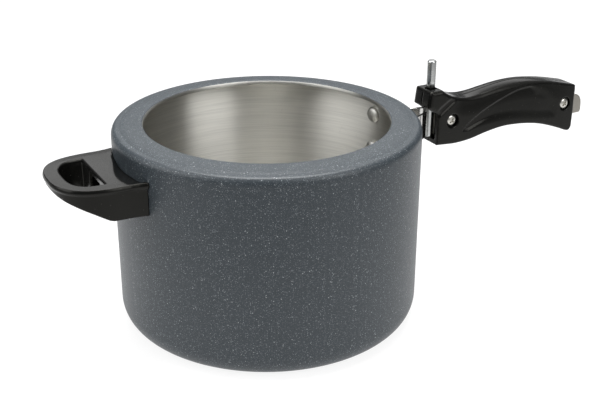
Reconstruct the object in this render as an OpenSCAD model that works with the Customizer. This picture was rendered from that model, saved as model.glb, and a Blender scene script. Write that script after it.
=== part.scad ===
// Stovetop pressure cooker of the inner-lid kind: the vessel with its long
// handle, helper handle, riveted brackets, guide pin and catch strip.
// Millimetres. +Z up, +X along the long handle, origin at the centre of the
// base on the vessel's axis.

/* [Vessel] */
// Outside radius of the wall
pot_r = 110.5; // [108:0.5:116]
// Height from the base to the mouth lip
pot_h = 149; // [144:1:160]
// Thickness of the wall
wall = 3.25; // [2.5:0.05:3.5]
// Thickness of the base
base_t = 5; // [4:0.5:6.5]
// Radius of the mouth
mouth_r = 88; // [86:0.5:92]
// Width of the rounded bottom corner
corner_w = 14; // [10:0.5:16]
// Height of the rounded bottom corner
corner_h = 16.5; // [12:0.5:20]
// Radius of the rounded shoulder
shoulder_r = 8; // [5:0.5:10]
// Rise of the rim from the shoulder to the lip
rim_rise = 1.6; // [0.6:0.1:2.4]

/* [Brackets and rivets] */
// Thickness of the bracket sheet
sheet = 1.8; // [1.5:0.1:2]
// Sideways distance of the rivet columns from the handle's middle plane
rivet_y = 24; // [22:0.5:26]
// Height of the lower rivets
rivet_lo = 99; // [97:0.5:102]
// Height of the upper rivets
rivet_hi = 127; // [124:0.5:128]
// Radius of the rivet shank
rivet_r = 3; // [2.5:0.1:3.2]
// Radius of the domed rivet head inside the vessel
rivet_head_r = 6.2; // [5.5:0.1:6.6]

/* [Guide pin] */
// Radius of the free end of the guide pin
pin_r = 3.5; // [3:0.1:3.5]
// Distance of the guide pin from the vessel's axis
pin_x = 141; // [140.8:0.1:141.2]
// Height of the top of the guide pin
pin_top = 172; // [165:1:180]

/* [Long handle] */
// Half of the handle's width
grip_w = 11.5; // [11:0.25:12]
// Thickness of the catch strip
strip_t = 3; // [2.5:0.1:3]
// How far the catch stands out of the handle's end
catch_len = 16; // [12:1:18]

/* [Helper handle] */
// Half of the helper handle's width at the root
help_w = 35; // [33:0.5:37]
// Distance of the helper handle's tip from the vessel's axis
help_tip = 161.5; // [158:0.5:165]
// Height of the helper handle's top face
help_top = 132.5; // [130:0.5:134]

/* [Hidden] */
$fn = 96;
dr = pot_r - 110.5;          // everything outside follows the wall
dz = pot_h - 149;            // everything near the rim follows the rim
ri = pot_r - wall;
gap = 0.05;                  // working gap between formed sheet and wall
screw_f = [156, 124];        // x, z of the front clamping screw
screw_b = [270.5, 120];      // x, z of the rear clamping screw
screw_r = 2.5;
helper_screw_x = 121;

// Catmull-Rom curve through a list of points, n steps for each span
function cr(p0, p1, p2, p3, t) =
    0.5 * (2 * p1 + (p2 - p0) * t + (2 * p0 - 5 * p1 + 4 * p2 - p3) * t * t
           + (3 * p1 - p0 - 3 * p2 + p3) * t * t * t);
function smooth(p, n = 4) = let (m = len(p) - 1)
    [for (i = [0 : m - 1]) for (k = [0 : n - 1])
        cr(p[max(i - 1, 0)], p[i], p[i + 1], p[min(i + 2, m)], k / n), p[m]];
// Points on an elliptical quarter from angle a0 to a1
function arc(cx, cy, rx, ry, a0, a1, n) =
    [for (k = [0 : n]) let (a = a0 + (a1 - a0) * k / n) [cx + rx * cos(a), cy + ry * sin(a)]];

// ---------------------------------------------------------------- vessel
module pot_profile() {
    top = pot_h - rim_rise;
    polygon(concat(
        [[0, 0], [pot_r - corner_w - 8, 0]],
        arc(pot_r - corner_w, corner_h, corner_w, corner_h, -86, 0, 14),
        arc(pot_r - shoulder_r, top - shoulder_r, shoulder_r, shoulder_r, 0, 88, 10),
        [[mouth_r + 6, pot_h - 0.25], [mouth_r + 2.2, pot_h], [mouth_r + 0.7, pot_h - 0.3],
         [mouth_r, pot_h - 1], [mouth_r, pot_h - 3], [mouth_r + 0.5, pot_h - 3.6],
         [mouth_r + 1.5, pot_h - 3.9], [mouth_r + 8, pot_h - 4.2]],
        arc(ri - 5, top - wall - 5.4, 5, 5, 90, 0, 8),
        arc(ri - corner_w + 6, base_t + corner_w - 6, corner_w - 6, corner_w - 6, 0, -90, 12),
        [[0, base_t]]));
}
module radial(a, r, z) rotate([0, 0, a]) translate([r, 0, z]) rotate([0, 90, 0]) children();
function col(y) = asin(y / pot_r);
function zr(z) = z + dz;
module pot_body() color([0.27, 0.30, 0.32]) difference() {
    rotate_extrude($fn = 180) pot_profile();
    for (s = [-1, 1]) for (z = [rivet_lo, rivet_hi])
        radial(s * col(rivet_y), ri - 8, zr(z)) cylinder(r = rivet_r + gap, h = 20, $fn = 48);
    for (s = [-1, 1])
        radial(180 + s * col(14), ri - 8, zr(119)) cylinder(r = rivet_r + gap, h = 20, $fn = 48);
}

// ------------------------------------------------- riveted brackets
module strap(p, q, t) {
    d = (q - p) / norm(q - p);
    n = [-d[1], d[0]] * t / 2;
    polygon([p - n, q - n, q + n, p + n]);
}
// Curved wing that lies against the wall, between two sideways offsets
module wing(y0, y1) intersection() {
    difference() {
        circle(r = pot_r + gap + sheet, $fn = 180);
        circle(r = pot_r + gap, $fn = 180);
    }
    translate([60, y0]) square([80, y1 - y0]);
}
module handle_bracket() color([0.72, 0.72, 0.72]) difference() {
    union() {
        translate([0, 0, zr(89)]) linear_extrude(height = 47) wing(-32, 32);
        for (s = [0, 1]) mirror([0, s, 0])
            translate([dr, 0, zr(111)]) linear_extrude(height = 23) {
                strap([109.6, 17.6], [134.6, 5.2], sheet);
                strap([134.2, 5.35], [138.6, 4.6], sheet);
            }
    }
    cylinder(r = pot_r + gap, h = 400, $fn = 180);
    for (s = [-1, 1]) for (z = [rivet_lo, rivet_hi])
        radial(s * col(rivet_y), ri, zr(z)) cylinder(r = rivet_r + gap, h = 12, $fn = 48);
    translate([pin_x + dr, 0, 0]) cylinder(r = pin_r + gap, h = 300, $fn = 64);
}
// Rivet set from inside: domed head inside, low upset head outside
module wall_rivet(a, z, hr, hh) {
    radial(a, 0, z) translate([0, 0, ri - 1]) cylinder(r = rivet_r, h = wall + sheet + 2, $fn = 48);
    intersection() {
        cylinder(r = ri - gap / 2, h = 300, $fn = 180);
        radial(a, 0, z) translate([0, 0, ri - 0.1]) intersection() {
            translate([0, 0, (hr * hr - hh * hh) / (2 * hh)])
                sphere(r = (hr * hr + hh * hh) / (2 * hh), $fn = 64);
            translate([0, 0, -hh - 1]) cylinder(r = hr, h = hh + 2, $fn = 64);
        }
    }
    difference() {
        radial(a, 0, z) translate([0, 0, pot_r + gap + sheet - 0.4]) cylinder(r1 = 5, r2 = 4, h = 2.2, $fn = 48);
        cylinder(r = pot_r + 2 * gap + sheet, h = 300, $fn = 180);
    }
}
module bracket_rivet(s, z) color([0.78, 0.78, 0.77]) wall_rivet(s * col(rivet_y), zr(z), rivet_head_r, 3);

// ------------------------------------------------- guide pin
module guide_pin() color([0.75, 0.76, 0.77]) translate([pin_x + dr, 0, dz]) {
    translate([0, 0, 111]) cylinder(r1 = pin_r - 0.6, r2 = pin_r, h = 0.6, $fn = 64);
    translate([0, 0, 111.6]) cylinder(r = pin_r, h = 36.4, $fn = 64);
    translate([0, 0, 148]) cylinder(r = pin_r - 0.4, h = 2, $fn = 64);
    translate([0, 0, 150]) cylinder(r = pin_r, h = pin_top - 150.6, $fn = 64);
    translate([0, 0, pin_top - 0.6]) cylinder(r1 = pin_r, r2 = pin_r - 0.6, h = 0.6, $fn = 64);
}

// ------------------------------------------------- long handle
// Side outline of the grip: top edge from the lug back to the end
grip_top = smooth([[145.5, 150], [151, 146.2], [158, 143], [165, 141.2], [173, 140.4],
                   [182, 141.3], [192, 143], [204, 144.8], [216, 145.8], [228, 145.5],
                   [240, 143.9], [252, 141.2], [264, 137.8], [274, 134.6], [280, 132.5]], 3);
// Underside from the end back to the front
grip_bot = smooth([[280.5, 98.6], [278, 95.8], [274, 96.2], [266, 99.8], [254, 104.4],
                   [243, 107.6], [231, 110], [219, 111.6], [206, 111.8], [190, 110.2],
                   [174, 107.2], [160, 106.2], [142, 106.4]], 3);
// Grip with its lug reaching over the bracket
module grip_side() polygon(concat(
    [[142, 130.5], [132.8, 137], [134.4, 148.9], [135.4, 150]],
    grip_top, [[281, 130.5]], grip_bot));
// Catch strip inside the grip and standing out of its end
strip_top = smooth([[145, 134], [160, 133.6], [176, 132.6], [196, 134.5], [216, 136.5],
                    [234, 135], [252, 130.5], [268, 126], [281, 123.4]], 2);
strip_bot = smooth([[281, 106], [268, 108.6], [254, 113], [236, 117.5], [218, 119],
                    [200, 118.4], [180, 114.6], [160, 112.4], [145, 112]], 2);
function strip_outline(o) = let (e = 281 + catch_len) concat(
    [for (p = strip_top) p + [0, o]],
    [[e - 7, 122.6 + o], [e - 4.4, 121.8 + o], [e - 2, 119.8 + o], [e - 0.6, 117 + o], [e, 113.6 + o],
     [e, 108 - o], [e - 0.6, 106.6 - o], [e - 2, 106 - o]],
    [for (p = strip_bot) p - [0, o]]);
module slab(y0, y1) translate([0, y1, 0]) rotate([90, 0, 0]) linear_extrude(height = y1 - y0) children();
module bolt_y(p, y0, y1, r) translate([p[0], y1, p[1]]) rotate([90, 0, 0]) cylinder(r = r, h = y1 - y0, $fn = 48);

module catch_strip() color([0.62, 0.60, 0.57]) translate([dr, 0, dz]) difference() {
    slab(-strip_t / 2, strip_t / 2) polygon(strip_outline(0));
    bolt_y(screw_f, -5, 5, screw_r + 0.25);
    bolt_y(screw_b, -5, 5, screw_r + 0.25);
    translate([pin_x, 0, 0]) cylinder(r = pin_r + gap, h = 300, $fn = 64);
}

// One half of the grip. s = -1 is the near half, s = 1 the far half
module grip_half(s) translate([dr, 0, dz]) mirror([0, s > 0 ? 1 : 0, 0]) difference() {
    intersection() {
        slab(-grip_w, 0) grip_side();
        // sides drawn in towards the end and broken at the edges
        translate([0, 0, 90]) linear_extrude(height = 70)
            polygon(concat([[130, 0], [132.2, -grip_w + 2.2]],
                smooth([[134.8, -grip_w], [160, -grip_w], [200, -grip_w + 0.6], [240, -grip_w + 0.6],
                        [270, -grip_w + 1], [279, -grip_w + 1.8], [281.5, -grip_w + 3.8]], 2),
                [[281.5, 0]]));
    }
    // groove for the catch strip
    slab(-strip_t / 2 - 0.1, 1) polygon(strip_outline(0.25));
    // guide pin hole through the lug
    translate([pin_x, 0, 128]) cylinder(r = pin_r + 0.7, h = 40, $fn = 64);
    // open front below the lug, over a closed bottom shelf
    translate([130, -7, 110]) cube([17, 8, 20.5]);
    translate([0, 0, 110]) rotate([0, 0, 0]) translate([pin_x, 0, 0]) cylinder(r = 7, h = 25, $fn = 64);
}
module handle_half_near() color([0.06, 0.06, 0.06]) difference() {
    grip_half(-1);
    translate([dr, 0, dz]) for (p = [screw_f, screw_b]) {
        bolt_y(p, -20, 1, screw_r + 0.25);
        bolt_y(p, -20, -7.6, 5.6);
    }
}
module hex_y(p, y0, y1, af) translate([p[0], y1, p[1]]) rotate([90, 0, 0]) cylinder(r = af / 2 / cos(30), h = y1 - y0, $fn = 6);
module handle_half_far() color([0.06, 0.06, 0.06]) difference() {
    grip_half(1);
    translate([dr, 0, dz]) for (p = [screw_f, screw_b]) {
        bolt_y(p, -1, 20, screw_r + 0.25);
        hex_y(p, 6.4, 20, 8.3);
    }
}
// Pan-head screw with a cross recess
module clamp_screw(p) color([0.72, 0.70, 0.66]) translate([dr, 0, dz]) difference() {
    union() {
        bolt_y(p, -7.6, 9.4, screw_r);
        translate([p[0], -7.6, p[1]]) rotate([90, 0, 0]) cylinder(r = 4.5, h = 1.8, $fn = 64);
        translate([p[0], -9.4, p[1]]) rotate([90, 0, 0]) cylinder(r1 = 4.5, r2 = 3.4, h = 0.9, $fn = 64);
    }
    for (a = [45, 135]) translate([p[0], -10.8, p[1]]) rotate([0, a, 0]) translate([-2.4, 0, -0.5]) cube([4.8, 2.6, 1]);
}
module clamp_nut(p) color([0.70, 0.68, 0.64]) translate([dr, 0, dz]) difference() {
    hex_y(p, 6.45, 10, 8);
    bolt_y(p, 0, 20, screw_r + gap);
}

// ------------------------------------------------- helper handle
function outline_y(x, x0, tip, w, e) = w * pow(max(0, 1 - pow((x - x0) / (tip - x0), e)), 1 / e);
// Plan outline of the helper: root flared to the wall, blunt rounded nose; o insets it
function helper_plan(o) = let (x0 = 122, tip = help_tip - o, w = help_w - o, n = 16,
        xs = [for (k = [0 : n]) x0 + (tip - x0) * sin(90 * k / n)]) concat(
    [[-95, -w - 4], [-104, -w - 2.1], [-110, -w - 0.9], [-116, -w - 0.2],
     for (x = xs) [-x, -outline_y(x, x0, tip, w, 2.5)]],
    [for (k = [n - 1 : -1 : 0]) [-xs[k], outline_y(xs[k], x0, tip, w, 2.5)],
     [-116, w + 0.2], [-110, w + 0.9], [-104, w + 2.1], [-95, w + 4]]);
// Finger opening: straight towards the vessel, rounded towards the tip
function finger_plan(o) = let (x0 = 130 - o, tip = 150.5 + o, w = 24.5 + o, n = 14,
        xs = [for (k = [0 : n]) x0 + (tip - x0) * sin(90 * k / n)]) concat(
    [for (x = xs) [-x, -outline_y(x, x0, tip, w, 3)]],
    [for (k = [n - 1 : -1 : 0]) [-xs[k], outline_y(xs[k], x0, tip, w, 3)]]);
module helper_handle() color([0.07, 0.07, 0.065]) translate([-dr, 0, dz]) difference() {
    union() {
        // rim plate with its overhanging lip
        translate([0, 0, help_top - 4]) linear_extrude(height = 4) difference() {
            polygon(helper_plan(0));
            polygon(finger_plan(0));
        }
        // skirt walls below the lip, cut to a wedge
        intersection() {
            union() {
                translate([0, 0, 100]) linear_extrude(height = help_top - 103) difference() {
                    polygon(helper_plan(1.4));
                    polygon(helper_plan(4.4));
                }
                translate([0, 0, 100]) linear_extrude(height = help_top - 103) {
                    intersection() {
                        difference() { polygon(finger_plan(2.6)); polygon(finger_plan(0)); }
                        polygon(helper_plan(2));
                    }
                    // webs between the screw boss and the walls
                    for (s = [-1, 1]) translate([-helper_screw_x - 1.25, s > 0 ? 6 : -help_w + 3]) square([2.5, help_w - 9]);
                    translate([-129, -1.25]) square([6, 2.5]);
                    translate([-helper_screw_x, 0]) circle(r = 7, $fn = 64);
                }
            }
            slab(-60, 60) polygon([[-95, 108.2], [-129, 108.6], [-140, 114.6], [-150, 119.8], [-156, 122.8],
                                   [-160, 125.2], [-165, 128], [-165, 131], [-95, 131]]);
        }
    }
    // room for the vessel wall
    translate([dr, 0, -20]) cylinder(r = pot_r + 0.4, h = 200, $fn = 180);
    // room for the bracket, its rivets and the nut inside the skirt
    translate([-129.5, -11, 114.8]) cube([30, 22, 12.7]);
    difference() {
        translate([-118, -help_w + 4.4, 100]) cube([24, 2 * help_w - 8.8, 27.5]);
        translate([dr, 0, 0]) cylinder(r = pot_r - 10, h = 200, $fn = 96);
    }
    // screw hole and its counterbore from below
    translate([-helper_screw_x, 0, 100]) cylinder(r = screw_r + 0.25, h = 20, $fn = 48);
    translate([-helper_screw_x, 0, 100]) cylinder(r = 5.2, h = 11, $fn = 48);
}
module helper_bracket() color([0.72, 0.72, 0.72]) difference() {
    union() {
        mirror([1, 0, 0]) translate([0, 0, zr(108.5)]) linear_extrude(height = 18) wing(-21, 21);
        translate([-dr - 128, -9.5, zr(114.9)]) cube([18, 19, 2.6]);
    }
    cylinder(r = pot_r + gap, h = 400, $fn = 180);
    for (s = [-1, 1]) radial(180 + s * col(14), ri, zr(119)) cylinder(r = rivet_r + gap, h = 12, $fn = 48);
    translate([-helper_screw_x - dr, 0, zr(100)]) cylinder(r = screw_r + 0.1, h = 30, $fn = 48);
}
module helper_rivet(s) color([0.78, 0.78, 0.77]) wall_rivet(180 + s * col(14), zr(119), 5.4, 2.6);
module helper_screw() color([0.72, 0.70, 0.66]) translate([-helper_screw_x - dr, 0, dz]) difference() {
    union() {
        translate([0, 0, 111]) cylinder(r = screw_r, h = 12, $fn = 48);
        translate([0, 0, 109.4]) cylinder(r = 4.5, h = 1.6, $fn = 64);
        translate([0, 0, 108.6]) cylinder(r1 = 3.4, r2 = 4.5, h = 0.8, $fn = 64);
    }
    for (a = [45, 135]) rotate([0, 0, a]) translate([-2.4, -0.5, 108]) cube([4.8, 1, 2]);
}
module helper_nut() color([0.70, 0.68, 0.64]) translate([-helper_screw_x - dr, 0, dz]) difference() {
    translate([0, 0, 117.5]) cylinder(r = 4 / cos(30), h = 4, $fn = 6);
    translate([0, 0, 110]) cylinder(r = screw_r + gap, h = 20, $fn = 48);
}

pot_body();
handle_bracket();
bracket_rivet(-1, rivet_hi);  // bracket_rivet_upper_near
bracket_rivet(1, rivet_hi);  // bracket_rivet_upper_far
bracket_rivet(-1, rivet_lo);  // bracket_rivet_lower_near
bracket_rivet(1, rivet_lo);  // bracket_rivet_lower_far
guide_pin();
catch_strip();
handle_half_near();
handle_half_far();
clamp_screw(screw_f);  // handle_screw_front
clamp_screw(screw_b);  // handle_screw_rear
clamp_nut(screw_f);  // handle_nut_front
clamp_nut(screw_b);  // handle_nut_rear
helper_handle();
helper_bracket();
helper_rivet(-1);  // helper_rivet_near
helper_rivet(1);  // helper_rivet_far
helper_screw();
helper_nut();
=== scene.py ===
import math

import bpy
import numpy as np
from mathutils import Matrix, Vector


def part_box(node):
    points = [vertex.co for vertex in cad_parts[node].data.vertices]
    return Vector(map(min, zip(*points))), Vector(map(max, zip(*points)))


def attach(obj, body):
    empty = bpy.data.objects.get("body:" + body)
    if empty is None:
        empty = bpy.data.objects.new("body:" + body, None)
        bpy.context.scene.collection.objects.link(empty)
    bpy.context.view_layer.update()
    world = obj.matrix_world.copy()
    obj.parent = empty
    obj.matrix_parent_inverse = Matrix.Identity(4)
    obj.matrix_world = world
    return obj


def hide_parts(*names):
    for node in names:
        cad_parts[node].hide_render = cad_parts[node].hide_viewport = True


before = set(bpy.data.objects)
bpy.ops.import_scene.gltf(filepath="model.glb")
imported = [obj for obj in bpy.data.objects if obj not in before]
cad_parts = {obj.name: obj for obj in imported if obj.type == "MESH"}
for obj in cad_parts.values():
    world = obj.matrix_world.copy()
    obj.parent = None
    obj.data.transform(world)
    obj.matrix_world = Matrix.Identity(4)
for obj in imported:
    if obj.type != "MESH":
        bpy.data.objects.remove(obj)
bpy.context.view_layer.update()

MM = 0.001
scene = bpy.context.scene
rng = np.random.default_rng(7)


# ------------------------------------------------------------------ mesh tools
def smin(a, b, k):
    h = np.maximum(k - np.abs(a - b), 0.0) / k
    return np.minimum(a, b) - h * h * k * 0.25


def smax(a, b, k):
    return -smin(-a, -b, k)


def step(t):
    t = np.clip(t, 0.0, 1.0)
    return t * t * (3 - 2 * t)


def crom(points, n=4):
    """Catmull-Rom curve through a list of 2-D points."""
    p = np.array(points, float)
    out = []
    m = len(p) - 1
    for i in range(m):
        p0, p1, p2, p3 = p[max(i - 1, 0)], p[i], p[i + 1], p[min(i + 2, m)]
        for k in range(n):
            t = k / n
            out.append(0.5 * (2 * p1 + (p2 - p0) * t + (2 * p0 - 5 * p1 + 4 * p2 - p3) * t * t
                              + (3 * p1 - p0 - 3 * p2 + p3) * t ** 3))
    out.append(p[-1])
    return [tuple(q) for q in out]


def seg_dist(x, y, a, b):
    ex, ey = b[0] - a[0], b[1] - a[1]
    wx, wy = x - a[0], y - a[1]
    t = np.clip((wx * ex + wy * ey) / (ex * ex + ey * ey + 1e-12), 0, 1)
    return (wx - ex * t) ** 2 + (wy - ey * t) ** 2


class Table:
    """A 2-D distance field on a fine grid, read back with bilinear steps."""

    def __init__(self, pts, lo, hi, h=0.2, closed=True):
        self.lo, self.h = lo, h
        n = [int((hi[i] - lo[i]) / h) + 2 for i in (0, 1)]
        x = (lo[0] + h * np.arange(n[0]))[:, None]
        y = (lo[1] + h * np.arange(n[1]))[None, :]
        d = np.full((n[0], n[1]), 1e9)
        inside = np.zeros((n[0], n[1]), bool)
        m = len(pts)
        for i in range(m if closed else m - 1):
            a, b = pts[i], pts[(i + 1) % m]
            if math.hypot(a[0] - b[0], a[1] - b[1]) < 1e-9:
                continue
            d = np.minimum(d, seg_dist(x, y, a, b))
            if closed and a[1] != b[1]:
                inside ^= ((a[1] > y) != (b[1] > y)) & (x < (b[0] - a[0]) * (y - a[1]) / (b[1] - a[1]) + a[0])
        self.t = np.where(inside, -1.0, 1.0) * np.sqrt(d)
        self.n = n

    def __call__(self, x, y):
        u = np.clip((x - self.lo[0]) / self.h, 0, self.n[0] - 1.001)
        v = np.clip((y - self.lo[1]) / self.h, 0, self.n[1] - 1.001)
        i, j = np.floor(u).astype(int), np.floor(v).astype(int)
        u, v = u - i, v - j
        t = self.t
        return (t[i, j] * (1 - u) * (1 - v) + t[i + 1, j] * u * (1 - v)
                + t[i, j + 1] * (1 - u) * v + t[i + 1, j + 1] * u * v)


CORNERS = np.array([(a, b, c) for a in (0, 1) for b in (0, 1) for c in (0, 1)])
EDGES = [(p, q) for p in range(8) for q in range(p + 1, 8) if np.abs(CORNERS[p] - CORNERS[q]).sum() == 1]


def nets(fn, lo, hi, h):
    """Surface-net mesh of the zero set of fn (negative inside), pulled onto the surface."""
    lo, hi = np.array(lo, float), np.array(hi, float)
    n = np.ceil((hi - lo) / h).astype(int) + 1
    ax = [lo[i] + h * np.arange(n[i]) for i in range(3)]
    F = np.array(np.broadcast_to(fn(ax[0][:, None, None], ax[1][None, :, None], ax[2][None, None, :]), n), np.float64)
    F[0], F[-1], F[:, 0], F[:, -1], F[:, :, 0], F[:, :, -1] = [np.maximum(s, 1e-3) for s in
                                                              (F[0], F[-1], F[:, 0], F[:, -1], F[:, :, 0], F[:, :, -1])]
    S = F < 0
    m = n - 1
    cnt = np.zeros(m, np.int8)
    for c in CORNERS:
        cnt += S[c[0]:c[0] + m[0], c[1]:c[1] + m[1], c[2]:c[2] + m[2]]
    cells = np.argwhere((cnt > 0) & (cnt < 8))
    idx = np.full(m, -1, np.int64)
    idx[tuple(cells.T)] = np.arange(len(cells))
    P, W = np.zeros((len(cells), 3)), np.zeros(len(cells))
    for p, q in EDGES:
        a, b = CORNERS[p], CORNERS[q]
        fa, fb = F[tuple((cells + a).T)], F[tuple((cells + b).T)]
        hit = (fa < 0) != (fb < 0)
        t = fa[hit] / (fa[hit] - fb[hit])
        P[hit] += a + t[:, None] * (b - a)
        W[hit] += 1
    V = lo + h * (cells + P / W[:, None])
    quads = []
    for k in range(3):
        u, v = (k + 1) % 3, (k + 2) % 3
        s0 = [slice(None)] * 3
        s1 = [slice(None)] * 3
        s0[k], s1[k] = slice(0, -1), slice(1, None)
        A, B = S[tuple(s0)], S[tuple(s1)]
        e = np.argwhere(A != B)
        ok = (e[:, u] > 0) & (e[:, v] > 0) & (e[:, u] < n[u] - 1) & (e[:, v] < n[v] - 1)
        e = e[ok]
        eu, ev = np.eye(3, dtype=int)[u], np.eye(3, dtype=int)[v]
        q = np.stack([idx[tuple(c.T)] for c in (e - eu - ev, e - ev, e, e - eu)], 1)
        flip = ~A[tuple(e.T)]
        q[flip] = q[flip][:, ::-1]
        quads.append(q)
    Q = np.concatenate(quads)
    Q = Q[(Q >= 0).all(1)]
    eps = 0.02
    for _ in range(3):
        f = fn(V[:, 0], V[:, 1], V[:, 2])
        g = np.stack([fn(V[:, 0] + eps * (i == 0), V[:, 1] + eps * (i == 1), V[:, 2] + eps * (i == 2)) - f
                      for i in range(3)], 1) / eps
        s = f / np.maximum((g * g).sum(1), 0.2)
        V = V - g * np.clip(s, -0.35 * h, 0.35 * h)[:, None]
    return V, Q


def make(name, verts, faces, mats, index=None, smooth=True):
    me = bpy.data.meshes.new(name)
    me.from_pydata([tuple(v) for v in np.asarray(verts) * MM], [], [tuple(int(i) for i in f) for f in faces])
    me.validate()
    for mat in mats:
        me.materials.append(mat)
    if index is not None:
        me.polygons.foreach_set("material_index", np.asarray(index, np.int32))
    if smooth:
        me.polygons.foreach_set("use_smooth", np.ones(len(me.polygons), bool))
    me.update()
    ob = bpy.data.objects.new(name, me)
    scene.collection.objects.link(ob)
    return ob


def solid(name, fn, lo, hi, h, mat):
    V, Q = nets(fn, lo, hi, h)
    return make(name, V, Q, [mat])


def lathe(name, prof, segs, mats, ring_mat=None, place=None):
    """Turns (r, z, material) points about Z. A point at r 0 becomes one vertex."""
    verts, rows = [], []
    ang = np.arange(segs) * 2 * math.pi / segs
    for p in prof:
        if p[0] < 1e-6:
            rows.append([len(verts)])
            verts.append((0, 0, p[1]))
        else:
            rows.append(list(range(len(verts), len(verts) + segs)))
            verts += [(p[0] * math.cos(a), p[0] * math.sin(a), p[1]) for a in ang]
    faces, index = [], []
    for k in range(len(rows) - 1):
        a, b = rows[k], rows[k + 1]
        mi = prof[k][2] if len(prof[k]) > 2 else 0
        for i in range(segs):
            j = (i + 1) % segs
            if len(a) == 1 and len(b) == 1:
                continue
            if len(a) == 1:
                f = (a[0], b[j], b[i])
            elif len(b) == 1:
                f = (a[i], a[j], b[0])
            else:
                f = (a[i], a[j], b[j], b[i])
            faces.append(f)
            index.append(mi)
    V = np.array(verts, float)
    if place is not None:
        V = np.array([tuple(place @ Vector(v)) for v in V])
    return make(name, V, faces, mats, index)


def done(ob, slot, *nodes):
    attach(ob, "root")
    if nodes:
        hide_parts(*nodes)
    return ob


# ------------------------------------------------------------------ materials
class Mat:
    def __init__(self, name):
        self.m = bpy.data.materials.new(name)
        self.m.use_nodes = True
        self.t = self.m.node_tree
        self.t.nodes.clear()
        self.out = self.t.nodes.new("ShaderNodeOutputMaterial")
        self.b = self.t.nodes.new("ShaderNodeBsdfPrincipled")
        self.t.links.new(self.b.outputs[0], self.out.inputs[0])
        self.co = self.t.nodes.new("ShaderNodeTexCoord").outputs["Object"]

    def set(self, **kw):
        for k, v in kw.items():
            self.b.inputs[k.replace("_", " ")].default_value = v

    def link(self, a, b):
        self.t.links.new(a, b)

    def math(self, op, a, b=None, c=None, clamp=False):
        n = self.t.nodes.new("ShaderNodeMath")
        n.operation = op
        n.use_clamp = clamp
        for i, v in enumerate((a, b, c)):
            if v is None:
                continue
            if isinstance(v, (int, float)):
                n.inputs[i].default_value = v
            else:
                self.link(v, n.inputs[i])
        return n.outputs[0]

    def noise(self, scale, detail=3.0, rough=0.55, vec=None, distort=0.0):
        n = self.t.nodes.new("ShaderNodeTexNoise")
        n.inputs["Scale"].default_value = scale
        n.inputs["Detail"].default_value = detail
        n.inputs["Roughness"].default_value = rough
        n.inputs["Distortion"].default_value = distort
        self.link(vec or self.co, n.inputs["Vector"])
        return n.outputs[0]

    def vor(self, scale, vec=None, feature="F1", rand=1.0):
        n = self.t.nodes.new("ShaderNodeTexVoronoi")
        n.feature = feature
        n.inputs["Scale"].default_value = scale
        n.inputs["Randomness"].default_value = rand
        self.link(vec or self.co, n.inputs["Vector"])
        return n

    def ramp(self, fac, stops):
        n = self.t.nodes.new("ShaderNodeValToRGB")
        e = n.color_ramp.elements
        while len(e) < len(stops):
            e.new(0.5)
        for s, (p, c) in zip(e, stops):
            s.position = p
            s.color = (c, c, c, 1) if isinstance(c, (int, float)) else (*c, 1)
        self.link(fac, n.inputs[0])
        return n.outputs[0]

    def mix(self, fac, a, b, blend="MIX"):
        n = self.t.nodes.new("ShaderNodeMix")
        n.data_type = "RGBA"
        n.blend_type = blend
        for s, v in ((n.inputs["Factor"], fac), (n.inputs["A"], a), (n.inputs["B"], b)):
            pass
        fs = [s for s in n.inputs if s.name == "Factor" and s.type == "VALUE"][0]
        sa = [s for s in n.inputs if s.name == "A" and s.type == "RGBA"][0]
        sb = [s for s in n.inputs if s.name == "B" and s.type == "RGBA"][0]
        for s, v in ((fs, fac), (sa, a), (sb, b)):
            if isinstance(v, (int, float)):
                s.default_value = v
            elif isinstance(v, tuple):
                s.default_value = (*v, 1)
            else:
                self.link(v, s)
        return [o for o in n.outputs if o.type == "RGBA"][0]

    def maprange(self, v, a, b, c, d):
        n = self.t.nodes.new("ShaderNodeMapRange")
        self.link(v, n.inputs[0])
        for i, x in enumerate((a, b, c, d)):
            n.inputs[i + 1].default_value = x
        return n.outputs[0]

    def bump(self, height, strength, dist, prev=None):
        n = self.t.nodes.new("ShaderNodeBump")
        n.inputs["Strength"].default_value = strength
        n.inputs["Distance"].default_value = dist
        self.link(height, n.inputs["Height"])
        if prev is not None:
            self.link(prev, n.inputs["Normal"])
        return n.outputs[0]

    def polar(self, ka, kr, kz, axis=(0, 0)):
        """Coordinates that run round the vertical axis at axis: angle, radius and height."""
        s = self.t.nodes.new("ShaderNodeSeparateXYZ")
        self.link(self.co, s.inputs[0])
        x = self.math("SUBTRACT", s.outputs[0], axis[0])
        y = self.math("SUBTRACT", s.outputs[1], axis[1])
        a = self.math("ARCTAN2", y, x)
        r = self.math("SQRT", self.math("ADD", self.math("MULTIPLY", x, x), self.math("MULTIPLY", y, y)))
        # the angle goes in as a point on a circle, so that it has no seam
        ca, sa = self.math("COSINE", a), self.math("SINE", a)
        c = self.t.nodes.new("ShaderNodeCombineXYZ")
        self.link(self.math("MULTIPLY", ca, ka), c.inputs[0])
        self.link(self.math("MULTIPLY", sa, ka), c.inputs[1])
        self.link(self.math("ADD", self.math("MULTIPLY", r, kr), self.math("MULTIPLY", s.outputs[2], kz)), c.inputs[2])
        return c.outputs[0]

    def pointiness(self):
        g = self.t.nodes.new("ShaderNodeNewGeometry")
        return g.outputs["Pointiness"]


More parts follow.
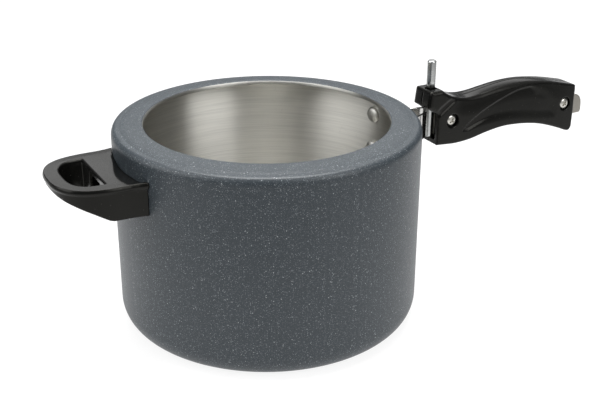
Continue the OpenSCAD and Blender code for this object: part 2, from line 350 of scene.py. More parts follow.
def stone_coat():
    m = Mat("stone_coat_blue_grey")
    cloud = m.noise(38, 4, 0.6)
    grain = m.noise(900, 3, 0.7)
    fine = m.noise(2600, 2, 0.6)
    base = m.mix(m.ramp(grain, [(0.3, 0.0), (0.7, 1.0)]), (0.015, 0.0215, 0.0275), (0.030, 0.040, 0.048))
    base = m.mix(m.ramp(cloud, [(0.35, 0.0), (0.7, 0.35)]), base, (0.027, 0.035, 0.043))
    # light flecks: only a few of the cells carry one, and each is a different size
    def fleck(scale, size, share):
        v = m.vor(scale)
        sep = m.t.nodes.new("ShaderNodeSeparateColor")
        m.link(v.outputs["Color"], sep.inputs[0])
        pick = m.math("GREATER_THAN", sep.outputs[0], 1 - share)
        size = m.math("MULTIPLY", sep.outputs[1], size)
        hit = m.math("LESS_THAN", v.outputs["Distance"], size)
        return m.math("MULTIPLY", pick, hit)
    f1 = fleck(1500, 0.46, 0.34)
    f2 = fleck(2300, 0.50, 0.42)
    f3 = fleck(900, 0.32, 0.13)
    dark = fleck(1000, 0.40, 0.24)
    col = m.mix(m.math("MULTIPLY", dark, 0.8), base, (0.016, 0.019, 0.022))
    col = m.mix(m.math("MULTIPLY", f2, 0.34), col, (0.26, 0.29, 0.31))
    col = m.mix(m.math("MULTIPLY", f1, 0.48), col, (0.34, 0.37, 0.39))
    col = m.mix(m.math("MULTIPLY", f3, 0.70), col, (0.46, 0.49, 0.50))
    m.link(col, m.b.inputs["Base Color"])
    m.link(m.maprange(fine, 0.3, 0.7, 0.36, 0.50), m.b.inputs["Roughness"])
    m.set(Metallic=0.0, IOR=1.5)
    b1 = m.bump(grain, 0.22, 0.0002)
    b2 = m.bump(m.noise(260, 3, 0.6), 0.10, 0.0004, b1)
    m.link(b2, m.b.inputs["Normal"])
    return m.m


def spun_aluminium(name="spun_aluminium", tint=(0.70, 0.69, 0.65), rough=(0.38, 0.45), aniso=1.0):
    m = Mat(name)
    ring = m.noise(1.0, 3, 0.6, m.polar(2.4, 1250, 1250))
    wide = m.noise(1.0, 3, 0.6, m.polar(1.3, 300, 300))
    haze = m.noise(16, 4, 0.6)
    s = m.maprange(wide, 0.3, 0.7, 0.0, 1.0)
    col = m.mix(s, tuple(c * 0.86 for c in tint), tint)
    col = m.mix(m.ramp(ring, [(0.35, 0.0), (0.65, 0.55)]), col, tuple(min(1, c * 1.16) for c in tint))
    scuff = m.ramp(m.noise(95, 5, 0.75, None, 1.6), [(0.62, 0.0), (0.70, 1.0)])
    col = m.mix(m.math("MULTIPLY", scuff, 0.18), col, (0.46, 0.45, 0.43))
    m.link(col, m.b.inputs["Base Color"])
    r = m.math("ADD", m.maprange(ring, 0.3, 0.7, rough[0], rough[1]), m.maprange(haze, 0.35, 0.7, 0.0, 0.07))
    m.link(r, m.b.inputs["Roughness"])
    m.set(Metallic=1.0, Anisotropic=aniso, Anisotropic_Rotation=0.25)
    t = m.t.nodes.new("ShaderNodeTangent")
    t.direction_type = "RADIAL"
    t.axis = "Z"
    m.link(t.outputs[0], m.b.inputs["Tangent"])
    m.link(m.bump(ring, 0.12, 0.00006), m.b.inputs["Normal"])
    return m.m


def phenolic(name, base=(0.0030, 0.0030, 0.0028), rough=(0.17, 0.25)):
    m = Mat(name)
    flow = m.noise(14, 5, 0.6, None, 0.8)
    fine = m.noise(1400, 2, 0.5)
    col = m.mix(m.ramp(flow, [(0.3, 0.0), (0.75, 1.0)]), base, tuple(c * 1.55 for c in base))
    v = m.vor(700)
    sep = m.t.nodes.new("ShaderNodeSeparateColor")
    m.link(v.outputs["Color"], sep.inputs[0])
    speck = m.math("MULTIPLY", m.math("GREATER_THAN", sep.outputs[0], 0.93), m.math("LESS_THAN", v.outputs["Distance"], 0.20))
    col = m.mix(m.math("MULTIPLY", speck, 0.10), col, (0.30, 0.29, 0.27))
    # painted highlight: the colour is made lighter on convex edges, where they would catch the light
    edge = m.maprange(m.pointiness(), 0.515, 0.56, 0.0, 0.5)
    col = m.mix(edge, col, (0.008, 0.008, 0.007))
    m.link(col, m.b.inputs["Base Color"])
    m.link(m.math("ADD", m.maprange(fine, 0.3, 0.7, rough[0], rough[1]), m.maprange(flow, 0.3, 0.7, -0.02, 0.04)),
           m.b.inputs["Roughness"])
    m.set(Metallic=0.0, IOR=1.30, Specular_Tint=(1.0, 0.985, 0.91, 1))
    b = m.bump(m.noise(420, 2, 0.5), 0.05, 0.0003)
    b = m.bump(fine, 0.05, 0.00008, b)
    m.link(b, m.b.inputs["Normal"])
    return m.m


def steel(name, tint, rough, scale=(1, 1, 1), grain=900, bump=0.10, axis=None, aniso=0.0):
    m = Mat(name)
    if axis is None:
        mp = m.t.nodes.new("ShaderNodeMapping")
        mp.inputs["Scale"].default_value = scale
        m.link(m.co, mp.inputs["Vector"])
        vec = mp.outputs[0]
        g = m.noise(grain, 3, 0.6, vec)
    else:
        g = m.noise(1.0, 2, 0.5, m.polar(1.2, 0, grain, axis))
    cloud = m.noise(45, 4, 0.6)
    col = m.mix(m.ramp(g, [(0.3, 0.0), (0.7, 1.0)]), tuple(c * 0.86 for c in tint), tint)
    col = m.mix(m.ramp(cloud, [(0.4, 0.0), (0.75, 0.4)]), col, tuple(c * 0.80 for c in tint))
    # painted highlight: convex edges get a brighter tint, standing in for the glint they catch
    edge = m.maprange(m.pointiness(), 0.51, 0.56, 0.0, 0.6)
    col = m.mix(edge, col, tuple(min(1, c * 1.15) for c in tint))
    m.link(col, m.b.inputs["Base Color"])
    m.link(m.math("ADD", m.maprange(g, 0.3, 0.7, rough[0], rough[1]), m.maprange(cloud, 0.3, 0.7, 0.0, 0.05)),
           m.b.inputs["Roughness"])
    m.set(Metallic=1.0, Anisotropic=aniso)
    m.link(m.bump(g, bump, 0.00005), m.b.inputs["Normal"])
    return m.m


COAT = stone_coat()
SPUN = spun_aluminium()
LIP = spun_aluminium("machined_lip", (0.50, 0.495, 0.47), (0.42, 0.50), 1.0)
UNDER = spun_aluminium("machined_underside", (0.66, 0.65, 0.63), (0.26, 0.36), 0.6)
BLACK = phenolic("phenolic_black")
STEEL_BRACKET = steel("bracket_steel_polished", (0.66, 0.655, 0.64), (0.09, 0.14), (1, 1, 14), 260, 0.0)
STEEL_PIN = steel("pin_steel_ground", (0.50, 0.51, 0.505), (0.20, 0.25), grain=1100, bump=0.0, axis=(0.141, 0.0))
STEEL_STRIP = steel("strip_steel_satin", (0.37, 0.35, 0.315), (0.32, 0.42), (14, 1, 1), 420)
NICKEL = steel("nickel_plated", (0.60, 0.585, 0.54), (0.18, 0.28), (1, 1, 1), 700)
RIVET = steel("rivet_aluminium", (0.58, 0.575, 0.55), (0.38, 0.48), (1, 1, 1), 800)


# ------------------------------------------------------------------ vessel
def oval(cx, cy, rx, ry, a0, a1, n):
    return [(cx + rx * math.cos(math.radians(a0 + (a1 - a0) * k / n)),
             cy + ry * math.sin(math.radians(a0 + (a1 - a0) * k / n))) for k in range(n + 1)]


def vessel():
    lo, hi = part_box("pot_body")
    R, H = hi.x / MM, hi.z / MM
    ri, mr = R - 3.25, 88.0
    under = [(0, 0.9), (6, 0.9), (7, 0.75), (30, 0.75), (31.2, 0.55), (60, 0.5), (61, 0.3), (82, 0.25), (84.5, 0.1), (86.5, 0.0)]
    out = [(89.5, 0.0), (92.5, 0.05)]
    out += oval(R - 14, 16.5, 14, 16.5, -84, 0, 22)
    out += [(R, 24), (R, 40), (R, 60), (R, 80), (R, 100), (R, 118), (R, 130), (R, 137)]
    rim = crom([(R, 139.5), (R - 0.02, 142.0), (R - 0.45, 144.1), (R - 1.55, 145.9), (R - 3.0, 146.8), (R - 4.6, 147.05),
                (R - 6.2, 147.2), (R - 7.8, 147.6), (R - 10, 148.05), (R - 14, 148.5), (R - 18, 148.82),
                (R - 20.0, 148.97), (mr + 1.3, H - 0.04), (mr + 0.7, H - 0.25)], 5)
    lip = [(mr + 0.4, H - 0.5), (mr + 0.12, H - 0.95), (mr + 0.02, H - 1.4)]
    lip += [(mr, H - 1.9), (mr, H - 2.3), (mr + 0.15, H - 2.75), (mr + 0.6, H - 3.15)]
    top = H - 1.6
    inner = [(mr + 1.5, H - 3.9), (mr + 5, H - 4.1), (mr + 8, H - 4.25)]
    inner += oval(ri - 5, top - 3.25 - 5.4, 5, 5, 88, 0, 10)
    inner += [(ri, z) for z in (130, 115, 100, 85, 70, 55, 40, 28, 20)]
    inner += oval(ri - 8, 13, 8, 8, 0, -90, 14)
    inner += [(94, 5.0), (88, 4.97), (70, 4.95), (50, 4.95), (30, 4.95), (12, 4.95), (4, 4.95), (0, 4.95)]
    prof = [(r, z, 3) for r, z in under] + [(r, z, 0) for r, z in out + rim]
    prof += [(r, z, 2) for r, z in lip] + [(r, z, 1) for r, z in inner]
    ob = lathe("vessel_shell", prof, 384, [COAT, SPUN, LIP, UNDER])
    return done(ob, "coated_aluminium", "pot_body")


vessel()


# ------------------------------------------------------------------ rivets
def rivet(name, node, azimuth, z, hr, hh, orad, ohh):
    """Domed head inside the wall, low upset head on the bracket outside."""
    ri, ro = 107.25, 112.4
    prof = [(0, ri - hh)]
    for k in range(1, 13):
        a = math.radians(90 * k / 13)
        prof.append((hr * 0.985 * math.sin(a) ** 0.92, ri - hh * (math.cos(a) ** 0.85 * 0.92 + 0.08)))
    prof += [(hr, ri - 0.22), (hr, ri - 0.05), (hr - 0.25, ri + 0.02), (3.0, ri + 0.3), (3.0, ro - 0.3),
             (orad - 0.3, ro + 0.02), (orad, ro + 0.12), (orad, ro + 0.3)]
    for k in range(1, 9):
        a = math.radians(90 * k / 9)
        prof.append((orad * math.cos(a) ** 0.8, ro + 0.3 + (ohh - 0.3) * math.sin(a)))
    prof.append((0, ro + ohh))
    prof = [(r, -t) for r, t in prof][::-1]
    a = math.radians(azimuth)
    # local +Z of the profile points towards the vessel's axis
    ez = Vector((-math.cos(a), -math.sin(a), 0))
    ex = Vector((0, 0, 1))
    ey = ez.cross(ex)
    M = Matrix(((ex.x, ey.x, ez.x, 0), (ex.y, ey.y, ez.y, 0), (ex.z, ey.z, ez.z, z), (0, 0, 0, 1)))
    return done(lathe(name, prof, 72, [RIVET], place=M), "rivet_aluminium", node)


AZ = math.degrees(math.asin(24 / 110.5))
HZ = math.degrees(math.asin(14 / 110.5))
rivet("rivet_upper_near", "bracket_rivet_upper_near", -AZ, 127, 6.2, 3.0, 4.4, 1.2)
rivet("rivet_upper_far", "bracket_rivet_upper_far", AZ, 127, 6.2, 3.0, 4.4, 1.2)
rivet("rivet_lower_near", "bracket_rivet_lower_near", -AZ, 99, 6.2, 3.0, 4.4, 1.2)
rivet("rivet_lower_far", "bracket_rivet_lower_far", AZ, 99, 6.2, 3.0, 4.4, 1.2)
rivet("helper_rivet_dome_near", "helper_rivet_near", 180 + HZ, 119, 5.4, 2.6, 4.2, 1.0)
rivet("helper_rivet_dome_far", "helper_rivet_far", 180 - HZ, 119, 5.4, 2.6, 4.2, 1.0)


# ------------------------------------------------------------------ brackets
def capsule2(x, y, a, b, w):
    return np.sqrt(seg_dist(x, y, a, b)) - w


def main_bracket(x, y, z):
    r = np.hypot(x, y)
    ay = np.abs(y)
    wing = np.maximum(np.abs(r - 111.45) - 0.9, -x + 60)
    plate = np.maximum(np.abs(z - 112.5) - 23.5, ay - 32)
    plate = smax(np.abs(z - 112.5) - 23.5, ay - 32, 7.0) + 0 * x
    wing = smax(wing, plate, 0.7)
    cheek = capsule2(x, ay, (109.6, 17.6), (127.5, 8.6), 0.9)
    # the far cheek runs on to the pin, the near one stops beside it
    near = capsule2(x, ay, (127.5, 8.6), (133.6, 5.3), 0.9) + 40 * step((y + 0.5) / 1.0)
    far = capsule2(x, ay, (127.5, 8.6), (138.1, 4.62), 0.9) + 40 * step((0.5 - y) / 1.0)
    c2 = smin(cheek, np.minimum(near, far), 1.0)
    # lower edge of the cheeks drawn up a little towards the pin
    low = 111 + 1.2 * step((x - 112) / 26)
    high = 134 - 0.6 * step((x - 112) / 10)
    cheeks = smax(c2, np.maximum(low - z, z - high), 0.6)
    cheeks = np.maximum(cheeks, 110.6 - r)
    return smin(wing, cheeks, 2.2)


def build_brackets():
    hb = solid("bracket_main", main_bracket, (104.5, -32.6, 88.4), (139.6, 32.6, 136.6), 0.42, STEEL_BRACKET)
    done(hb, "bracket_steel", "handle_bracket")

    def helper_bracket(x, y, z):
        r = np.hypot(x, y)
        wing = np.maximum(np.abs(r - 111.45) - 0.9, x + 60)
        wing = smax(wing, smax(np.abs(z - 117.5) - 9, np.abs(y) - 21, 5.0), 0.6)
        tongue = smax(np.maximum(np.abs(z - 116.2) - 1.3, x + 110.8), smax(np.abs(y) - 9.5, -x - 128, 4.0), 0.6)
        d = smin(wing, tongue, 2.0)
        d = np.maximum(d, 110.56 - r)
        return smax(d, 2.6 - np.hypot(x + 121, y), 0.3)

    ob = solid("bracket_helper", helper_bracket, (-128.7, -21.6, 107.9), (-107.9, 21.6, 127.1), 0.36, STEEL_BRACKET)
    done(ob, "bracket_steel", "helper_bracket")


build_brackets()


# ------------------------------------------------------------------ guide pin
def pin():
    prof = [(0, 111), (2.6, 111), (2.95, 111.12), (3.3, 111.4), (3.46, 111.75), (3.5, 112.2), (3.5, 118), (3.5, 126),
            (3.5, 134), (3.5, 142), (3.5, 147.8), (3.3, 148.0), (3.12, 148.2), (3.1, 149), (3.12, 149.8), (3.3, 150.0),
            (3.5, 150.2), (3.5, 156), (3.5, 163), (3.5, 170.4), (3.46, 170.95), (3.3, 171.45), (3.0, 171.8), (2.6, 171.96),
            (1.4, 172), (0, 172)]
    ob = lathe("guide_pin_ground", prof, 96, [STEEL_PIN], place=Matrix.Translation((141, 0, 0)))
    done(ob, "pin_steel", "guide_pin")


pin()

# ------------------------------------------------------------------ long handle
GRIP_TOP = [(145.5, 150), (151, 146.2), (158, 143), (165, 141.2), (173, 140.4), (182, 141.3), (192, 143), (204, 144.8),
            (216, 145.8), (228, 145.5), (240, 144.0), (252, 141.7), (264, 138.9), (274, 136.5), (280, 135.0)]
GRIP_BOT = [(280.5, 98.6), (278, 95.8), (274, 96.2), (266, 99.4), (254, 103.8), (243, 107.0), (231, 109.2), (219, 110.4),
            (206, 110.6), (190, 108.6), (174, 105.5), (160, 104.6), (150, 105.2), (142, 105.9)]
LUG = [(142, 130.5), (132.8, 137), (134.2, 147.6), (134.6, 149.2), (135.6, 150)]
side = Table(LUG + crom(GRIP_TOP, 5) + [(281.1, 134.2), (281.4, 130.5)] + crom(GRIP_BOT, 5), (126, 86), (290, 162))
STRIP_TOP = [(145, 134), (160, 133.6), (176, 132.6), (196, 134.5), (216, 136.5), (234, 135), (252, 130.5), (268, 126), (281, 123.4)]
STRIP_BOT = [(281, 106), (268, 108.6), (254, 113), (236, 117.5), (218, 119), (200, 118.4), (180, 114.6), (160, 112.4), (145, 112)]
TAB = [(290, 122.7), (292.6, 121.9), (294.8, 120.1), (296.3, 117.2), (296.9, 113.6), (297, 108.6), (296.7, 107.2), (295.9, 106.3), (294.4, 106)]
strip2 = Table(crom(STRIP_TOP, 4) + TAB + crom(STRIP_BOT, 4), (138, 98), (304, 144))
CREASE = [(165.5, 113.5), (168, 117), (176, 123.2), (187, 129.1), (198, 133.5), (209, 137.2), (220, 140), (232, 140.9)]
crease = Table(crom(CREASE, 5), (126, 86), (290, 162), closed=False)
panel = Table(crom(CREASE, 5) + crom([(244, 139.0), (254, 134.6), (259.6, 127.6), (262.3, 119.4), (262.6, 112.6), (259.5, 109.2),
                                      (247, 110.2), (234.2, 112.4), (218, 114.6), (203, 115.4), (185.2, 114.4), (172, 112.6)], 4),
              (126, 86), (290, 162))
top_x = np.array([p[0] for p in [(135, 150)] + crom(GRIP_TOP, 5) + [(283, 134.2)]])
top_z = np.array([p[1] for p in [(135, 150)] + crom(GRIP_TOP, 5) + [(283, 134.2)]])
wid_x = np.array([130, 160, 200, 240, 270, 279, 281.5])
wid_w = np.array([11.5, 11.5, 10.95, 10.9, 10.6, 10.3, 9.9])
crown_x = np.array([143, 150, 165, 175, 184, 200, 217, 234, 252, 262])
crown_w = np.array([0, 0.3, 0.5, 0.8, 1.7, 2.5, 3.0, 2.1, 0.5, 0])
SCREWS = ((156, 124), (270.5, 120))


def line_dist(x, z, a, b):
    """Signed distance from the line through a and b, positive on its left."""
    dx, dz = b[0] - a[0], b[1] - a[1]
    n = math.hypot(dx, dz)
    return ((x - a[0]) * -dz + (z - a[1]) * dx) / n


def grip(x, ya, z, near):
    """ya is the distance from the parting plane."""
    zt = np.interp(x, top_x, top_z)
    crown = np.interp(x, crown_x, crown_w) * (ya / 11.5) ** 2 * step((z - (zt - 24)) / 16)
    end_round = 0.15 * (ya / 11.5) ** 2 * step((x - 262) / 18)
    d = side(x + end_round, z + crown)
    w = np.interp(x, wid_x, wid_w)
    w = w - (1.5 - 1.1 * step((x - 245) / 28)) * (1 - step((zt - z - 0.5) / 15)) * step((x - 152) / 14)
    # shallow thumb panel below the crease
    pd = -panel(x, z)
    cd = crease(x, z)
    reach = 1.7 + 6.5 * step((cd - 1.0) / 10)
    w = w - 1.25 * step(pd / reach) * (1 - 0.35 * step(cd / 26))
    # slanted channel behind the lug
    l1 = line_dist(x, z, (142.4, 137.2), (151.4, 142.9))
    l2 = line_dist(x, z, (146.9, 130.6), (159.8, 139.9))
    chan = step(-l1 / 2.8) * step(l2 / 2.8)
    w = w - 0.8 * chan * step((x - 139) / 6) * step((zt - z) / 5)
    k_side = 2.8 + 0.9 * step((150 - x) / 10) * step((z - 128) / 6) - 1.0 * step((x - 268) / 10) - 0.9 * step((122 - z) / 10)
    k_side = k_side - 0.6 * step((x - 225) / 30) * step((z - 124) / 6)
    d = smax(d, ya - w, k_side)
    d = smax(d, 0.035 - ya, 0.8)
    # open front, pin hole, groove for the strip, screw holes
    slot = smax(smax(ya - 7, np.abs(z - 120.25) - 10.25, 1.5), x - 147, 1.5)
    d = smax(d, -slot, 0.8)
    rp = np.hypot(x - 141, ya)
    d = smax(d, -np.maximum(rp - 7, np.abs(z - 122.5) - 12.5), 0.6)
    hole = np.maximum(rp - 4.2, 126 - z)
    # small moulding mark on the parting line
    d = smax(d, 1.7 - np.sqrt((x - 233.2) ** 2 + ya ** 2 + (z - 145.9) ** 2), 0.4)
    d = smax(d, -hole, 0.9)
    d = np.maximum(d, -np.maximum(strip2(x, z) - 0.25, ya - 1.6))
    for sx, sz in SCREWS:
        q = np.hypot(x - sx, z - sz)
        d = np.maximum(d, -(q - 2.75))
        if near:
            d = smax(d, -np.maximum(q - 5.6, 7.6 - ya), 0.7)
        else:
            hx = np.maximum(np.maximum(np.abs(z - sz), np.abs((x - sx) * 0.8660254 + (z - sz) * 0.5)),
                            np.abs((x - sx) * 0.8660254 - (z - sz) * 0.5)) - 4.15
            d = smax(d, -np.maximum(hx, 6.4 - ya), 0.5)
    return d


def build_grip():
    h = 0.46
    near = solid("grip_half_near", lambda x, y, z: grip(x, -y, z, True), (132.8, -12.1, 94.6), (282.2, 0.5, 151.2), h, BLACK)
    done(near, "phenolic", "handle_half_near")
    far = solid("grip_half_far", lambda x, y, z: grip(x, y, z, False), (132.8, -0.5, 94.6), (282.2, 12.1, 151.2), h, BLACK)
    done(far, "phenolic", "handle_half_far")

    def strip(x, y, z):
        d = smax(strip2(x, z), np.abs(y) - 1.5, 0.55)
        for sx, sz in SCREWS:
            d = np.maximum(d, 2.75 - np.hypot(x - sx, z - sz))
        return d

    ob = solid("catch_strip_blank", strip, (144.2, -1.9, 105.2), (297.8, 1.9, 137.3), 0.34, STEEL_STRIP)
    done(ob, "strip_steel", "catch_strip")


build_grip()


# ------------------------------------------------------------------ screws and nuts
def pan_screw(u, v, t, length):
    """Pan-head screw: t runs from the head's seat outwards, u and v across."""
    q = np.hypot(u, v)
    dome = t - (2.7 - 0.95 * (q / 4.5) ** 2)
    head = smax(smax(q - 4.5, dome, 1.3), -t, 0.3)
    shank = smax(q - 2.5, smax(t - 0.3, -t - length, 0.4), 0.3)
    d = smin(head, shank, 0.5)
    for a in (math.pi / 4, 3 * math.pi / 4):
        p = u * math.cos(a) + v * math.sin(a)
        s = -u * math.sin(a) + v * math.cos(a)
        taper = 0.18 * (2.7 - t)
        cut = smax(np.abs(s) - 0.62 + taper * 0.5, np.abs(p) - 2.5 + taper * 2.0, 0.25)
        d = smax(d, -np.maximum(cut, 0.75 - t), 0.28)
    core = np.maximum(q - 0.95, 0.75 - t)
    return smax(d, -core, 0.25)


def build_fasteners():
    for tag, (sx, sz) in zip(("front", "rear"), SCREWS):
        ob = solid("screw_" + tag + "_pan", lambda x, y, z: pan_screw(x - sx, z - sz, -y - 7.6, 17.0),
                   (sx - 4.9, -10.7, sz - 4.9), (sx + 4.9, 9.8, sz + 4.9), 0.15, NICKEL)
        done(ob, "fastener_steel", "handle_screw_" + tag)

        def nut(x, y, z):
            u, v = x - sx, z - sz
            hx = np.maximum(np.maximum(np.abs(v), np.abs(u * 0.8660254 + v * 0.5)), np.abs(u * 0.8660254 - v * 0.5)) - 4.0
            q = np.hypot(u, v)
            ch = np.abs(y - 8.225) - 1.775 + 0.5 * np.maximum(q - 3.9, 0)
            return smax(smax(hx, ch, 0.3), 2.55 - q + 0.6 * np.maximum(np.abs(y - 8.225) - 1.4, 0) * -1, 0.3)

        ob = solid("nut_" + tag, nut, (sx - 4.9, 6.2, sz - 4.9), (sx + 4.9, 10.3, sz + 4.9), 0.17, NICKEL)
        done(ob, "fastener_steel", "handle_nut_" + tag)

    ob = solid("screw_helper_pan", lambda x, y, z: pan_screw(x + 121, y, (111 - z) * 2.7 / 2.4, 13.3), (-125.9, -4.9, 108.3), (-116.1, 4.9, 123.3),
               0.16, NICKEL)
    done(ob, "fastener_steel", "helper_screw")

    def hnut(x, y, z):
        u, v = x + 121, y
        hx = np.maximum(np.maximum(np.abs(v), np.abs(u * 0.8660254 + v * 0.5)), np.abs(u * 0.8660254 - v * 0.5)) - 4.0
        q = np.hypot(u, v)
        return smax(smax(hx, np.abs(z - 119.5) - 2.0 + 0.5 * np.maximum(q - 3.9, 0), 0.3), 2.55 - q, 0.3)

    ob = solid("nut_helper", hnut, (-125.9, -4.4, 117.1), (-116.1, 4.4, 121.9), 0.18, NICKEL)
    done(ob, "fastener_steel", "helper_nut")


build_fasteners()


# ------------------------------------------------------------------ helper handle
def super_plan(x0, tip, w, e, n, root=None):
    pts = [] if root is None else [(root, -w)]
    xs = [x0 + (tip - x0) * math.sin(math.radians(90 * k / n)) for k in range(n + 1)]
    ys = [w * max(0.0, 1 - ((x - x0) / (tip - x0)) ** e) ** (1 / e) for x in xs]
    pts += [(-x, -y) for x, y in zip(xs, ys)]
    pts += [(-x, y) for x, y in list(zip(xs, ys))[-2::-1]]
    if root is not None:
        pts.append((root, w))
    return pts


FLARE = [(-95, 39), (-104, 37.1), (-110, 35.9), (-116, 35.2)]
HALF = super_plan(122, 161.5, 35, 2.5, 48)
FAR = super_plan(122, 161.5, 35.9, 2.75, 48)
PLAN = [(x, -y) for x, y in FLARE] + HALF[:49] + FAR[49:] + [(x, y + 0.5) for x, y in FLARE[::-1]]
outline = Table(PLAN, (-172, -46), (-96, 46))
finger = Table(super_plan(130, 150.5, 24.5, 3.0, 40), (-172, -46), (-96, 46))
wedge = Table([(-90, 108.2), (-128, 108.5), (-131, 109.4), (-140, 114.6), (-150, 119.8), (-156, 122.8), (-160, 125.2), (-166, 128.6),
               (-170, 134), (-90, 134)], (-176, 96), (-88, 140))


def helper(x, y, z):
    r = np.hypot(x, y)
    ay = np.abs(y)
    po, pf = outline(x, y), finger(x, y)
    # dished by the vessel, very slightly crowned elsewhere
    reach = 2.0 + 10.5 * step((16 - y) / 42)
    dish = 2.5 * step((34 + y) / 5) * step((26 - y) / 30) * step((reach - (r - 110.6)) / (reach - 0.5))
    crown = 0.25 * step((po + 9) / 9)
    zt = 132.5 - dish - crown
    bull = smax(po, np.abs(z - 130.0) - 2.5, 3.6)
    plate = smax(smax(po, z - zt, 1.1), (128.4 - 0.9 * step((11 - (r - 110.6)) / 9.0)) - z, 1.0)
    plate = np.maximum(plate, bull - 0.05 - 3.0 * step(-po / 4))
    skirt = np.maximum(po + 1.5, -(po + 4.5))
    skirt = np.maximum(skirt, z - 130)
    ring = np.maximum(np.maximum(-pf, pf - 2.6), z - 130)
    webs = np.maximum(np.abs(x + 121) - 1.25, np.maximum(6 - ay, ay - 31.5))
    web2 = np.maximum(np.abs(x + 126) - 3.2, ay - 1.25)
    boss = np.hypot(x + 121, y) - 7
    # thin ribs from the finger wall back to the root
    ribs = np.maximum(np.abs(ay - 14.5) - 0.9, np.abs(x + 123.5) - 7.5)
    inner = np.minimum(np.minimum(webs, web2), np.minimum(boss, ribs))
    low = smin(smin(skirt, ring, 1.2), inner, 1.2)
    low = np.maximum(low, z - 129.5)
    low = smax(low, wedge(x, z), 0.6)
    low = np.maximum(low, po + 1.5)
    low = smax(low, -pf, 0.8)
    d = smin(plate, low, 0.9)
    d = smax(d, -pf, 1.7)
    d = smax(d, 110.62 - r, 0.3)
    # room for the bracket, its rivets and the nut
    d = np.maximum(d, -np.maximum(np.maximum(np.abs(x + 114.5) - 15, ay - 11), np.abs(z - 121.1) - 6.3))
    d = np.maximum(d, -np.maximum(np.maximum(-x - 118, r - 116.5), np.maximum(ay - 30.6, np.abs(z - 113.5) - 14)))
    q = np.hypot(x + 121, y)
    d = np.maximum(d, -np.maximum(q - 2.75, z - 120))
    d = smax(d, -np.maximum(q - 5.2, z - 111), 0.5)
    return d


def build_helper():
    ob = solid("helper_grip", helper, (-162.4, -38.2, 107.4), (-103.6, 38.2, 133.4), 0.46, BLACK)
    done(ob, "phenolic", "helper_handle")


build_helper()


# ------------------------------------------------------------------ floor, light, camera
def stage():
    me = bpy.data.meshes.new("studio_floor")
    s = 6.0
    me.from_pydata([(-s, -s, -0.0002), (s, -s, -0.0002), (s, s, -0.0002), (-s, s, -0.0002)], [], [(0, 1, 2, 3)])
    ob = bpy.data.objects.new("studio_floor", me)
    scene.collection.objects.link(ob)
    m = Mat("studio_floor_pale")
    g = m.noise(220, 3, 0.6)
    m.link(m.mix(m.ramp(g, [(0.3, 0.0), (0.7, 1.0)]), (0.165, 0.165, 0.165), (0.19, 0.19, 0.19)), m.b.inputs["Base Color"])
    m.link(m.maprange(g, 0.3, 0.7, 0.75, 0.85), m.b.inputs["Roughness"])
    m.b.inputs["Emission Color"].default_value = (1, 1, 1, 1)
    # the backdrop glows behind the object and falls off in front of it
    sep = m.t.nodes.new("ShaderNodeSeparateXYZ")
    m.link(m.co, sep.inputs[0])
    away = m.math("ADD", m.math("MULTIPLY", sep.outputs[0], 0.4478), m.math("MULTIPLY", sep.outputs[1], 0.8942))
    side = m.math("SUBTRACT", m.math("MULTIPLY", sep.outputs[0], 0.8942), m.math("MULTIPLY", sep.outputs[1], 0.4478))
    wide = m.math("SUBTRACT", m.math("ABSOLUTE", side), m.math("MULTIPLY", away, 0.31))
    glow = m.math("MINIMUM", m.maprange(away, -0.80, -0.22, 0.14, 0.86), m.maprange(wide, 0.34, 0.80, 0.86, 0.20))
    m.link(glow, m.b.inputs["Emission Strength"])
    m.b.inputs["Specular IOR Level"].default_value = 0.0
    me.materials.append(m.m)


stage()

YAW = math.radians(-26.6)  # from the camera's plan direction to the handle's


def turned(v):
    c, s = math.cos(YAW), math.sin(YAW)
    return Vector((v[0] * c - v[1] * s, v[0] * s + v[1] * c, v[2]))


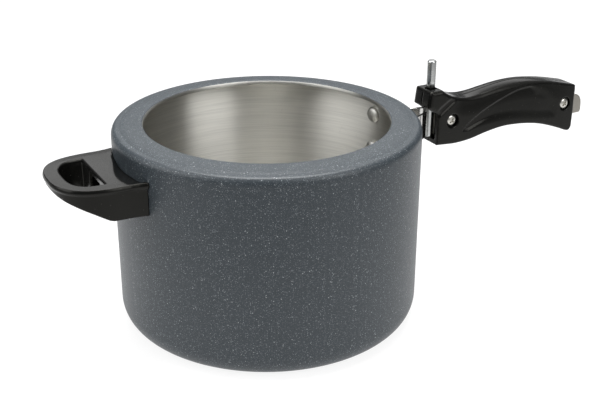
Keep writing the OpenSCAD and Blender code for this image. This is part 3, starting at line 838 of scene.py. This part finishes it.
def camera():
    cam = bpy.data.cameras.new("camera")
    cam.sensor_width = 36
    cam.lens = 1057.9 / 612 * 36
    cam.clip_start, cam.clip_end = 0.01, 50
    pitch, yaw, roll = math.radians(23.90), math.radians(2.24), math.radians(0.335)
    fwd = Vector((math.sin(yaw) * math.cos(pitch), math.cos(yaw) * math.cos(pitch), -math.sin(pitch)))
    right = Vector((math.cos(yaw), -math.sin(yaw), 0))
    up = right.cross(fwd)
    r2 = right * math.cos(roll) + up * math.sin(roll)
    u2 = -right * math.sin(roll) + up * math.cos(roll)
    r2, u2, fwd = turned(r2), turned(u2), turned(fwd)
    at = turned((0, -0.715, 0.3981))
    ob = bpy.data.objects.new("camera", cam)
    ob.matrix_world = Matrix(((r2.x, u2.x, -fwd.x, at.x), (r2.y, u2.y, -fwd.y, at.y), (r2.z, u2.z, -fwd.z, at.z), (0, 0, 0, 1)))
    scene.collection.objects.link(ob)
    scene.camera = ob


camera()


def softbox(name, at, to, size, power, tone=(1, 1, 1)):
    """at and to are in the camera's plan directions: X right, Y away, Z up."""
    li = bpy.data.lights.new(name, "AREA")
    li.shape = "RECTANGLE"
    li.size, li.size_y = size
    li.energy = power
    li.color = tone
    ob = bpy.data.objects.new(name, li)
    a, b = turned(at), turned(to)
    ob.location = a
    ob.rotation_euler = (b - a).to_track_quat("-Z", "Y").to_euler()
    scene.collection.objects.link(ob)


softbox("box_left", (-1.19, -0.39, 0.80), (0, 0, 0.1), (1.3, 1.1), 11.5)
softbox("box_right", (0.95, -0.82, 0.80), (0, 0, 0.1), (0.95, 1.1), 9.3)
softbox("box_top", (0.0, 0.25, 1.7), (0, 0, 0.1), (1.3, 1.0), 40)
softbox("box_back", (0.05, 1.55, 1.0), (0, 0, 0.1), (1.7, 0.7), 5.0)

world = bpy.data.worlds.new("studio_world")
scene.world = world
world.use_nodes = True
wt = world.node_tree
wt.nodes.clear()
wo = wt.nodes.new("ShaderNodeOutputWorld")
bg = wt.nodes.new("ShaderNodeBackground")
tc = wt.nodes.new("ShaderNodeTexCoord")
sx = wt.nodes.new("ShaderNodeSeparateXYZ")
wt.links.new(tc.outputs["Generated"], sx.inputs[0])
cr = wt.nodes.new("ShaderNodeValToRGB")
el = cr.color_ramp.elements
el[0].position, el[0].color = 0.30, (0.25, 0.255, 0.26, 1)
el[1].position, el[1].color = 0.72, (0.92, 0.92, 0.92, 1)
wt.links.new(sx.outputs[2], cr.inputs[0])
wt.links.new(cr.outputs[0], bg.inputs[0])
bg.inputs[1].default_value = 0.62
wt.links.new(bg.outputs[0], wo.inputs[0])

scene.view_settings.view_transform = "Standard"
scene.view_settings.look = "None"
scene.view_settings.exposure = 0.0
scene.view_settings.gamma = 1.0


bpy.context.view_layer.update()
